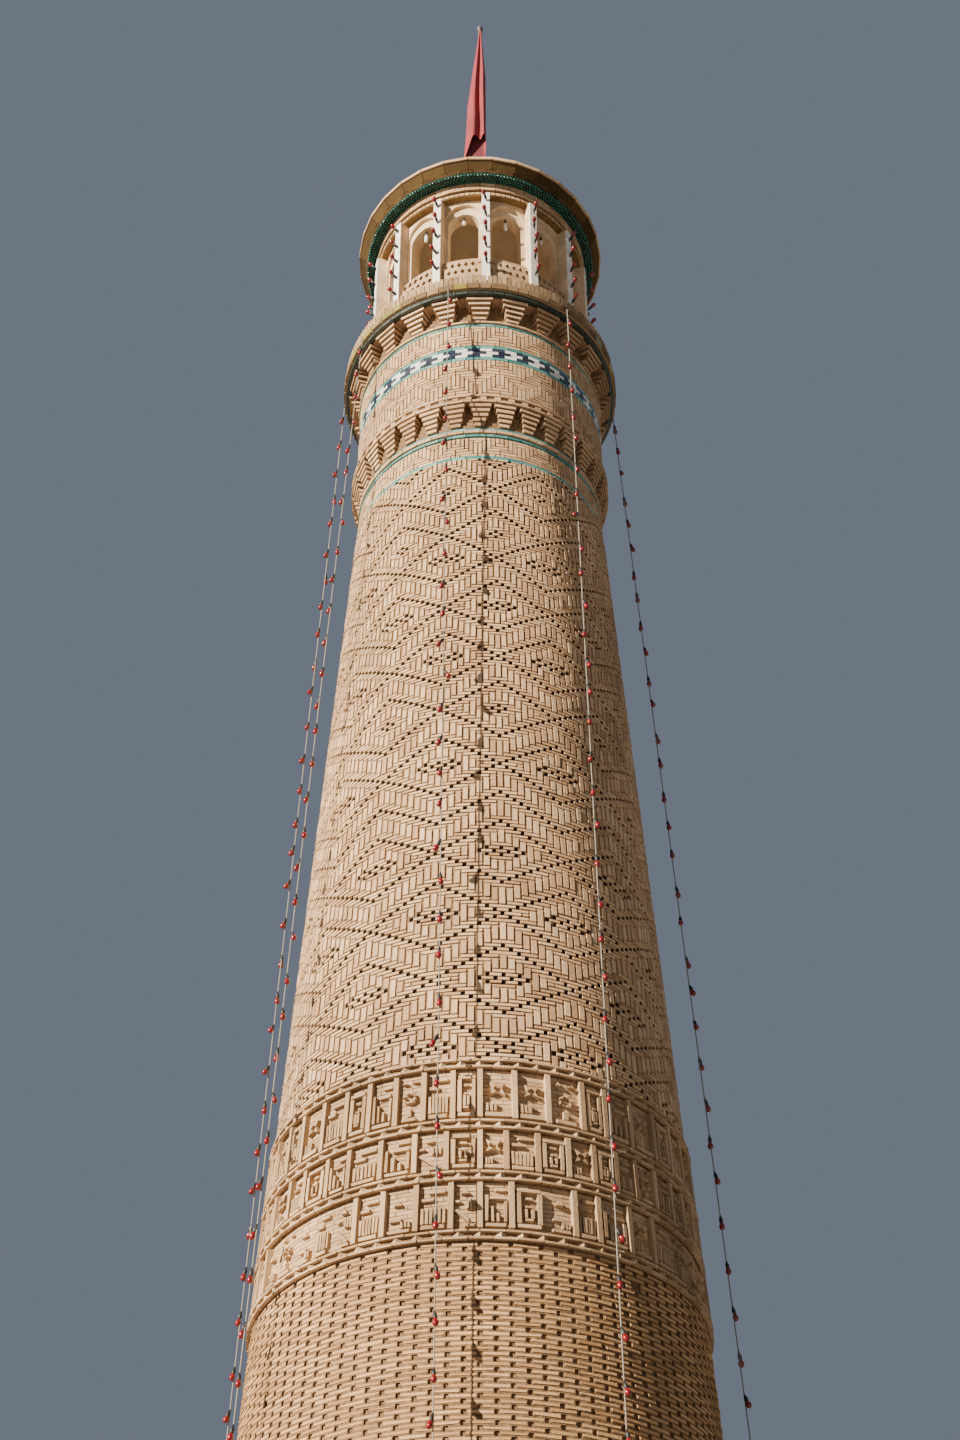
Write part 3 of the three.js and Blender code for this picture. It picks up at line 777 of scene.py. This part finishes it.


def moulding(node):
    low, high = level(node)
    low, high = low + 0.004, high - 0.004
    wall = outer_radius(node)
    for name, foot, offset in (("lower", low, 3.0), ("upper", high - COURSE, 0.0)):
        ring_of_tiles(f"{node}_{name}_course", COURSE_BRICKS, foot, foot + COURSE, upright(wall), COURSE_PROUD,
                      *CARVED, 0.008, offset, seed=SEED + len(name))
    half = 0.36 * radians(360 / SAWTEETH) * wall
    vertices = []
    for x, out in ((-half, wall - EMBED), (0, wall + SAWTOOTH_PROUD), (half, wall - EMBED)):
        vertices += [(x, -out, low + COURSE), (x * 0.8, -out, high - COURSE)]
    faces = [(0, 2, 3, 1), (2, 4, 5, 3), (4, 0, 1, 5), (0, 4, 2), (1, 3, 5)]
    copies(f"{node}_sawtooth_course", (vertices, faces), around(SAWTEETH), *CARVED)


# Friezes: panels of brick relief between upright bars, on a bed of thin courses. A motif is a list of
# shapes, in shares of the panel's width w and height h, that give outlines and how proud each is.
PANELS = 47
FRIEZE_COURSE = 0.047
RELIEF_PROUD = 0.054


def plate(x0, x1, y0, y1, proud=1.0):
    return rectangle(x0, x1, y0, y1), proud


def bar(w, h, x0, x1, y0, y1, proud=1.0):
    return [plate(x0 * w, x1 * w, y0 * h, y1 * h, proud)]


def hollow(w, h, x0, x1, y0, y1, t=0.036):
    x0, x1, y0, y1 = x0 * w, x1 * w, y0 * h, y1 * h
    return [plate(x0, x1, y0, y0 + t), plate(x0, x1, y1 - t, y1), plate(x0, x0 + t, y0 + t, y1 - t),
            plate(x1 - t, x1, y0 + t, y1 - t)]


def ring(w, h, x, y, radius, thickness=0.026, sides=8):
    parts = [rectangle(radius - thickness, radius, *(2 * pi * (k + step) / sides for step in (0.0, 0.96)))
             for k in range(sides)]
    return [(polar(x * w, y * h, part), 0.9) for part in parts]


def comb(w, h, x0, x1, y0, y1, teeth):
    x0, x1 = x0 * w, x1 * w
    pitch = (x1 - x0) / teeth
    return [plate(x0 + pitch * (k + 0.14), x0 + pitch * (k + 0.86), y0 * h, y1 * h, 0.8) for k in range(teeth)]


def diagonal(w, h, x0, y0, x1, y1, thickness=0.032):
    x0, y0, x1, y1 = x0 * w, y0 * h, x1 * w, y1 * h
    length = hypot(x1 - x0, y1 - y0)
    nx, ny = -(y1 - y0) / length * thickness / 2, (x1 - x0) / length * thickness / 2
    return [([(x0 - nx, y0 - ny), (x1 - nx, y1 - ny), (x1 + nx, y1 + ny), (x0 + nx, y0 + ny)], 0.9)]


def knob(w, h, x, y, size=0.03):
    x, y = x * w, y * h
    return [([(x - size, y - size * 0.6), (x + size, y - size * 0.6), (x, y + size)], 0.8)]


def star(w, h, x, y, radius):
    rays = [pi / 2 * k + pi / 4 for k in range(4)]
    near, far = 0.5 * radius, 1.35 * radius
    return [(polar(x * w, y * h, ((near, a - 0.85), (far, a), (near, a + 0.85))), 0.9) for a in rays]


MOTIFS = [
    [(hollow, 0.05, 0.95, 0.06, 0.86), (hollow, 0.33, 0.67, 0.2, 0.52, 0.026),
     (bar, 0.33, 0.67, 0.64, 0.71, 0.7)],
    [(bar, 0.04, 0.96, 0.04, 0.12), (comb, 0.04, 0.96, 0.14, 0.5, 6), (bar, 0.04, 0.55, 0.62, 0.69, 0.7),
     (bar, 0.3, 0.96, 0.78, 0.85, 0.7)],
    [(diagonal, 0.08, 0.42, 0.8, 0.12), (bar, 0.45, 0.96, 0.04, 0.11), (knob, 0.5, 0.78, 0.04),
     (comb, 0.55, 0.96, 0.42, 0.64, 3), (bar, 0.04, 0.3, 0.55, 0.62, 0.7)],
    [(star, 0.5, 0.6, 0.075), (bar, 0.05, 0.95, 0.05, 0.13), (comb, 0.05, 0.5, 0.15, 0.34, 3)],
    [(ring, 0.5, 0.52, 0.068), (bar, 0.12, 0.88, 0.05, 0.12), (bar, 0.4, 0.6, 0.14, 0.32, 0.8),
     (knob, 0.25, 0.84), (knob, 0.75, 0.84)],
    [(bar, 0.05, 0.95, 0.05, 0.12), (bar, 0.05, 0.17, 0.14, 0.7), (bar, 0.29, 0.41, 0.14, 0.5, 0.9),
     (bar, 0.53, 0.65, 0.14, 0.36, 0.9), (bar, 0.29, 0.95, 0.62, 0.69, 0.8), (bar, 0.83, 0.95, 0.14, 0.6, 0.9),
     (bar, 0.45, 0.95, 0.8, 0.86, 0.6)],
    [(bar, 0.1, 0.62, 0.3, 0.36, 0.6), (knob, 0.45, 0.66, 0.045), (bar, 0.05, 0.95, 0.06, 0.12, 0.8),
     (comb, 0.55, 0.95, 0.14, 0.3, 3)],
]


def frieze(node, seed, weights, bars=1.0):
    """Motifs in a seeded order, but never the same one twice in a row."""
    low, high = level(node)
    height = high - low
    rng = default_rng(seed)
    rows = round(height / FRIEZE_COURSE)
    course = height / rows
    for row in range(rows):
        foot, head = low + course * row, low + course * (row + 1)
        ring_of_tiles(f"{node}_bed_course_{row + 1}", COURSE_BRICKS, foot, head, cone_radius, 0.004,
                      *CARVED, 0.004, 2.9 * (row % 2), seed=seed + row)
    ends = np.cumsum(rng.uniform(0.78, 1.16, PANELS))
    ends *= 360 / ends[-1]
    shapes = []
    last = None
    for azimuth, pitch in zip(ends, np.roll(np.diff(ends, prepend=0.0), -1)):
        width = radians(pitch) * cone_radius(low)
        if rng.random() < bars:
            shapes.append((azimuth, low, rectangle(-0.024, 0.024, 0.004, height - 0.006), RELIEF_PROUD * 1.05))
        choice = last
        while choice == last:
            choice = rng.choice(len(MOTIFS), p=weights)
        last = choice
        for make, *values in MOTIFS[choice]:
            for outline, proud in make(width - 0.065, height, *values):
                uneven = [(x + 0.032 + rng.normal(0, 0.0022), y + rng.normal(0, 0.0012)) for x, y in outline]
                shapes.append((azimuth, low, uneven, RELIEF_PROUD * proud))
    reliefs(f"{node}_relief", shapes, *CARVED, 0.009, seed)


def carved_zone():
    for place in ("under_friezes", "over_lower_frieze", "over_middle_frieze", "over_upper_frieze"):
        moulding("moulding_" + place)
    frieze("lower_frieze", SEED + 11, [0.12, 0.22, 0.1, 0.06, 0.1, 0.1, 0.3], 0.6)
    frieze("middle_frieze", SEED + 22, [0.14, 0.24, 0.14, 0.16, 0.14, 0.12, 0.06])
    frieze("upper_frieze", SEED + 33, [0.24, 0.14, 0.18, 0.12, 0.18, 0.12, 0.02])


# Corbels: each step is a course of brick
CORBEL_WIDTHS = (0.46, 0.58, 0.68, 0.83, 1.0)  # of the top step, from the bottom up


def corbels(node, count, share, foot, reach):
    low, high = level(node)
    steps = len(CORBEL_WIDTHS)
    step = (high - low) / steps
    rng = default_rng(SEED + count)
    for k in range(steps):
        out = foot + (reach - foot) * (k + 1) / steps + 0.01
        half = (2 * pi * foot * share * CORBEL_WIDTHS[k] / count + 0.012) / 2
        shape = box_shape(-half, half, foot - 0.02, out, low + step * k + 0.009, low + step * (k + 1) - 0.009)
        places = [facing(90 + 360 / count * i) @ facing(rng.normal(0, 0.25)) for i in range(count)]
        copies(f"{node}_course_{k + 1}", shape, places, "brick", BRICK)


def proud_course(name, low, high, radius, count, offset=0.0):
    ring_of_tiles(name, count, low, high, upright(radius), 0.012, "brick", BRICK, 0.008, offset)


def corbelled_rings():
    corbels("lower_corbels", 32, 0.84, NECK_RADIUS, 1.59)
    corbels("upper_corbels", 24, 0.78, DRUM_RADIUS, 1.7)

    low, high = level("lower_cornice")
    radius = outer_radius("lower_cornice")
    proud_course("lower_cornice_lower_course", low, low + 0.042, radius + 0.008, 50)
    proud_course("lower_cornice_upper_course", high - 0.032, high, radius + 0.01, 50, 3.0)
    ring_of_tiles("lower_cornice_headers", 118, low + 0.042, high - 0.032, upright(radius), 0.014, "brick",
                  BRICK, 0.012, every=2)

    foot, head = level("neck_tile_line_lower")[1], level("neck_tile_line_upper")[0]
    proud_course("neck_roll_bricks", foot + 0.004, head - 0.004, NECK_RADIUS + 0.026, 48)
    line = level("drum_tile_line")[1]
    proud_course("drum_roll_bricks", line + 0.004, line + 0.042, DRUM_RADIUS + 0.022, 50)
    bed = level("drum_wall")[0]
    proud_course("drum_foot_bricks", bed + 0.002, bed + 0.036, DRUM_RADIUS + 0.012, 50, 2.0)


# Balcony rim, the teeth on it and the pierced parapet
RIM_BRICKS = 66
RIM_JOINTS = (0.01, 0.006)
GLAZED_SHARE = 0.1  # of the rim's bricks
RIM_TEETH = 180
LATTICE_COLUMNS = 98
LATTICE_ROW = 0.14
LATTICE_HOLE = (0.76, 0.74)  # width and height as shares of a cell
RAIL = 0.075


def rim():
    wall = upright(outer_radius("balcony_slab"))
    rng = default_rng(SEED + 5)
    ends = np.cumsum(rng.uniform(0.7, 1.3, RIM_BRICKS))
    ends = 360 * np.concatenate([[0], ends]) / ends[-1]
    low, high = level("balcony_tile_line")[1], level("balcony_slab")[1]
    rects = rects_of(ends[:-1], ends[1:], low, high, RIM_JOINTS, wall)
    odd = rng.random(RIM_BRICKS) < GLAZED_SHARE
    for name, chosen, material in (("rim_bricks", ~odd, RIM_BRICK), ("rim_glazed_bricks", odd, OLIVE_TILE)):
        blocks_on_wall(name, rects[chosen], wall, 0.013, "brick", material)
    band = upright(outer_radius("balcony_tile_line"))
    ring_of_tiles("rim_tile_line", 72, *level("balcony_tile_line"), band, 0.01, "glazed_line", SHADED_TEAL)


def rim_teeth():
    """Small round-headed teeth before a low curb of shaded mortar, painted shade between the teeth."""
    low, high = level("rim_cresting")
    outer = outer_radius("rim_cresting")
    inner, middle = outer - 0.04, outer - 0.022
    top = high - low
    curb = low + 0.55 * top
    vertices, faces = turned(rectangle(inner, middle, low, curb) + [(inner, low)], 96)
    # the curb is painted in shaded mortar: painted shade in the gaps between the teeth
    new_object("rim_shade_curb", vertices, faces[2:], [SHADED_MORTAR])

    half = 0.84 * pi * outer / RIM_TEETH
    outline = [(-half, 0.003), (half, 0.003)] + polar(0, top - half, [(half, pi * k / 5) for k in range(6)])
    shape = [(x, -out, low + y) for out in (outer, inner) for x, y in outline], prism(len(outline))
    rng = default_rng(SEED + 6)
    places = []
    for place in around(RIM_TEETH):
        lean = Matrix.Translation((0, -outer, low)) @ Matrix.Rotation(radians(rng.normal(0, 1.5)), 4, "Y")
        places.append(place @ lean @ Matrix.Translation((0, outer, -low)))
    teeth = copies("rim_teeth", shape, places, "plaster", TOOTH_BRICK)
    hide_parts("rim_cresting")


def lattice():
    """A wall pierced by staggered rows of diamonds, between a plain foot and a rail."""
    low, high = level("parapet")
    rows = int((high - low - RAIL) / LATTICE_ROW)
    foot = high - RAIL - rows * LATTICE_ROW
    pitch = 360 / LATTICE_COLUMNS
    p, q = pitch / 2, LATTICE_ROW / 2
    polygons = []
    for row in range(rows):
        z = foot + LATTICE_ROW * (row + 0.5)
        for column in range(LATTICE_COLUMNS):
            a = pitch * (column + 0.5 * (row % 2))
            for sx in (-1, 1):
                for sz in (-1, 1):
                    points = [(a + sx * p, z), (a + sx * p, z + sz * q), (a, z + sz * q),
                              (a, z + sz * (LATTICE_HOLE[1] * q)), (a + sx * (LATTICE_HOLE[0] * p), z)]
                    polygons.append(points if sx * sz < 0 else points[::-1])
    for z0, z1 in ((low, foot), (high - RAIL, high)):
        for column in range(2 * LATTICE_COLUMNS):
            polygons.append(rectangle(p * column, p * (column + 1), z0, z1))
    flat = np.concatenate(polygons)
    numbers = iter(range(len(flat)))
    faces = [tuple(next(numbers) for _ in points) for points in polygons]
    vertices = on_round(flat[:, 0] % 360, outer_radius("parapet") - 0.004, flat[:, 1])
    obj = new_object("parapet_lattice", vertices, faces, [LATTICE_PLASTER])
    work = bmesh.new()
    work.from_mesh(obj.data)
    bmesh.ops.remove_doubles(work, verts=work.verts, dist=0.0006)
    work.to_mesh(obj.data)
    work.free()
    thick = obj.modifiers.new("thickness", "SOLIDIFY")
    thick.thickness = 0.03
    thick.offset = -1
    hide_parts("parapet")


# Gallery: boards with lamps on the piers, and lamps hung in the arches
BAYS = 14
FIRST_PIER = 3.0
PIER_RADIUS = 1.46
BOARD_OUT = 0.014  # how far a board stands out from its pier
BOARD_LAMP_LEVELS = [25.176, 24.829, 24.502, 24.163, 23.828]
ARCH_HOOK = (0, -1.235, 25.115)
BULB_PROFILE = [(0.003, -0.158), (0.0195, -0.152), (0.0285, -0.13), (0.027, -0.108), (0.0175, -0.088),
                (0.012, -0.076)]
HOLDER_PROFILE = [(0.014, -0.086), (0.0185, -0.08), (0.0185, -0.036), (0.012, -0.028), (0.008, 0.0)]
LONG_LAMP_PROFILE = [(0.004, -0.235), (0.02, -0.228), (0.026, -0.205), (0.026, -0.11), (0.018, -0.088),
                     (0.012, -0.08)]


def aimed(place, direction):
    """A frame at a place whose -Z looks along a direction."""
    turn = Vector(direction).to_track_quat("-Z", "Y").to_matrix().to_4x4()
    return Matrix.Translation(place) @ turn


def lamps(name, places, glass, profile=BULB_PROFILE):
    copies(f"{name}_bulbs", turned(profile, 12), places, "light_string", glass, True)
    copies(f"{name}_holders", turned(HOLDER_PROFILE, 10), places, "light_string", BLACK_HOLDER, True)


def gallery():
    floor, top = level("gallery_arcade")
    board_face = PIER_RADIUS + BOARD_OUT
    shape = box_shape(-0.052, 0.052, PIER_RADIUS - 0.004, board_face, floor + 0.004, top - 0.012)
    piers = [FIRST_PIER + 360 / BAYS * k for k in range(BAYS)]
    copies("pier_boards", shape, [facing(a) for a in piers], "plaster", WHITE_PAINT)
    rng = default_rng(SEED + 8)
    places = []
    for azimuth in piers:
        pier = facing(azimuth)
        for z in BOARD_LAMP_LEVELS:
            aim = pier.to_3x3() @ Vector((rng.normal(-0.25, 0.12), -0.75, 0.75))
            places.append(aimed(pier @ Vector((0.012, -board_face, z - 0.05)), aim))
    lamps("board", places, RED_GLASS)

    hooks = [aimed(facing(azimuth + 180 / BAYS) @ Vector(ARCH_HOOK), (0, 0, -1)) for azimuth in piers]
    lamps("arch_long", hooks[::2], WHITE_GLASS, LONG_LAMP_PROFILE)
    lamps("arch_short", hooks[1::2], WHITE_GLASS)


# Light strings down the tower
LAMP_SPACING = 0.47
STRING_TOP = (1.8, 22.88)  # radius and level
STRING_FOOT = (2.85, 0.35)
STRINGS = {  # azimuth at the rim and at the foot
    "far_left": (-94.1, -106.4), "left": (-56.9, -57.2), "front": (-12.8, -7.3), "right": (37.8, 25.4),
    "far_right": (99.7, 80.2),
}


def light_strings():
    rng = default_rng(SEED + 9)
    for name, (top_azimuth, foot_azimuth) in STRINGS.items():
        top = Vector(on_round(top_azimuth, *STRING_TOP))
        foot = Vector(on_round(foot_azimuth, *STRING_FOOT))
        count = int((foot - top).length / LAMP_SPACING)
        outward = Vector((top.x + foot.x, top.y + foot.y, 0)).normalized()
        across = Vector((-outward.y, outward.x, 0))
        places = []
        for k in range(count):
            here = top.lerp(foot, (k + 0.35 + rng.uniform(-0.12, 0.12)) / count)
            aim = outward * rng.uniform(0.0, 0.5) + across * rng.normal(0, 0.35) - Vector((0, 0, 1.5))
            places.append(aimed(here, aim))
        lamps(f"string_{name}", places, RED_GLASS)


# Canopy: brick cornice, mosaic band, soffit and lip
CORNICE_RADIUS = 1.418  # of its lowest step
CORNICE_TOP = 25.58
CORNICE_BRICKS = 44
STUD_ROWS = 4
STUDS = 220  # in a row
STUDS_INNER = 1.436
TRIM = (1.6, 25.66)  # radius and level of the plain ring's edge
LIP_TILES = 32
LIP_LEVEL = 25.765


def eave_tiles(name, count, inner, outer, material, gap=0.004):
    """Tiles under the eaves, from one (radius, level) to another."""
    half = pi / count
    edges = ((inner, -1), (inner, 1), (outer, 1), (outer, -1))
    vertices = [(side * (radius * sin(half) - gap), -radius * cos(half), z - depth)
                for depth in (0.012, -0.004) for (radius, z), side in edges]
    faces = [(3, 2, 1, 0), (4, 5, 6, 7), (0, 1, 5, 4), (1, 2, 6, 5), (2, 3, 7, 6), (3, 0, 4, 7)]
    copies(name, (vertices, faces), around(count), "brick", material)


def canopy():
    low = level("canopy_cornice")[0]
    mid = low + (CORNICE_TOP - low) / 3
    first_step, second_step = upright(CORNICE_RADIUS), upright(outer_radius("canopy_cornice"))
    ring_of_tiles("cornice_headers", 128, low + 0.006, low + 0.062, first_step, 0.01, "brick", BRICK, 0.012)
    for name, foot, head, proud, offset in (
        ("lower", 0.004, 0.046, 0.016, 0.0),
        ("middle", 0.052, 0.096, 0.008, 3.0),
        ("upper", 0.102, 0.15, 0.014, 0.0),
    ):
        ring_of_tiles(f"cornice_{name}_course", CORNICE_BRICKS, mid + foot, mid + head, second_step, proud,
                      "brick", BRICK, 0.008, offset)

    # studs of glazed mosaic hang from the flat band under the eaves
    soffit = level("canopy_tile_band")[0]
    outer = outer_radius("canopy_tile_band")
    row_step = (outer - STUDS_INNER) / STUD_ROWS
    places = [facing(360 / STUDS * (k + 0.5 * (row % 2)), STUDS_INNER + row_step * (row + 0.5), soffit)
              for row in range(STUD_ROWS) for k in range(STUDS)]
    size = 0.56 * row_step
    profile = [(0.25 * size, -0.026), (0.72 * size, -0.021), (size, -0.008), (size, 0.004)]
    copies("soffit_mosaic_studs", turned(profile, 8), places, "soffit_tiles", GREEN_TILE, True)

    # a plain ring, big tiles under the eaves and a straight-sided lip
    slab_low, slab_high = level("canopy_slab")
    lip = outer_radius("canopy_slab")
    eave_tiles("mosaic_trim", 56, (outer + 0.002, slab_low), TRIM, SHADED_SOFFIT_BRICK, 0.003)
    eave_tiles("soffit_tiles", LIP_TILES, (TRIM[0] + 0.004, TRIM[1]), (lip, LIP_LEVEL), SHADED_SOFFIT_BRICK)
    half = lip * tan(radians(360 / LIP_TILES) / 2) - 0.004
    edge = box_shape(-half, half, lip - 0.03, lip + 0.01, LIP_LEVEL - 0.008, slab_high + 0.01)
    copies("lip_tiles", edge, around(LIP_TILES), "brick", BRICK)


# Flag: limp cloth hung in two wide folds, with a longer layer behind
FLAG_ROUTE = [  # across, as a share of its half width, towards the front, in metres, and the level of the hem
    (-0.9, 0.031, 28.2), (-0.3, 0.033, 28.17), (0.55, 0.032, 28.19), (1.0, 0.062, 28.55),
    (0.56, 0.136, 28.78), (-0.04, 0.078, 28.71), (-0.42, 0.132, 28.74), (-0.8, 0.085, 28.36),
    (-1.0, 0.05, 28.16),
]
FLAG_LEFT = ([0.0, 0.42, 0.6, 0.86, 1.0], [0.012, 0.14, 0.187, 0.215, 0.245])  # half width, from head to hem
FLAG_RIGHT = ([0.0, 0.2, 0.42, 1.0], [0.02, 0.048, 0.084, 0.088])
FLAG_ROWS = 96
FLAG_BACK = 0.03  # how far the cloth stays before the pole's axis


def smooth_route(points, steps):
    """A Catmull-Rom curve through points, with steps between each pair."""
    points = np.asarray(points, float)
    padded = np.concatenate([2 * points[:1] - points[1:2], points, 2 * points[-1:] - points[-2:-1]])
    t = (np.arange(steps) / steps)[:, None]
    parts = []
    for a, b, c, d in zip(padded, padded[1:], padded[2:], padded[3:]):
        parts.append(0.5 * (2 * b + (c - a) * t + (2 * a - 5 * b + 4 * c - d) * t ** 2
                            + (3 * b - a - 3 * c + d) * t ** 3))
    return np.concatenate(parts + [points[-1:]])


def flag():
    head = level("flag")[1] - 0.01
    route = smooth_route(FLAG_ROUTE, 10)
    columns = len(route)
    v = (np.arange(FLAG_ROWS + 1) / FLAG_ROWS)[:, None]
    u = np.linspace(0, 1, columns)
    across, front, hem = route.T
    width = np.where(across < 0, np.interp(v, *FLAG_LEFT), np.interp(v, *FLAG_RIGHT))
    depth = np.minimum(1.0, 0.22 + 1.3 * v)
    wave = np.sin(9 * v + 11 * u) * 0.006 * v + np.sin(23 * v + 4 * u) * 0.003 * v
    drift = 0.01 * np.sin(7 * v + 2 * u) * v
    x = across * width + drift * (1 - across ** 2)
    y = np.minimum(-FLAG_BACK - (front - FLAG_BACK) * depth + wave, -0.0295)
    ragged = 0.012 * np.sin(31 * u) + 0.008 * np.sin(57 * u + 1)
    z = head - (head - hem - ragged) * v
    corner = columns * np.arange(FLAG_ROWS)[:, None] + np.arange(columns - 1)
    faces = np.stack([corner, corner + columns, corner + columns + 1, corner + 1], -1).reshape(-1, 4).tolist()
    vertices = np.stack([x, y, z], -1).reshape(-1, 3)
    obj = new_object("flag_cloth", vertices, faces, [CLOTH], smooth=True)
    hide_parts("flag")


base_bricks()
door_surround()
carved_zone()
shaft_bricks()
upper_brickwork()
glazed_rings()
corbelled_rings()
rim()
rim_teeth()
lattice()
gallery()
light_strings()
canopy()
flag()
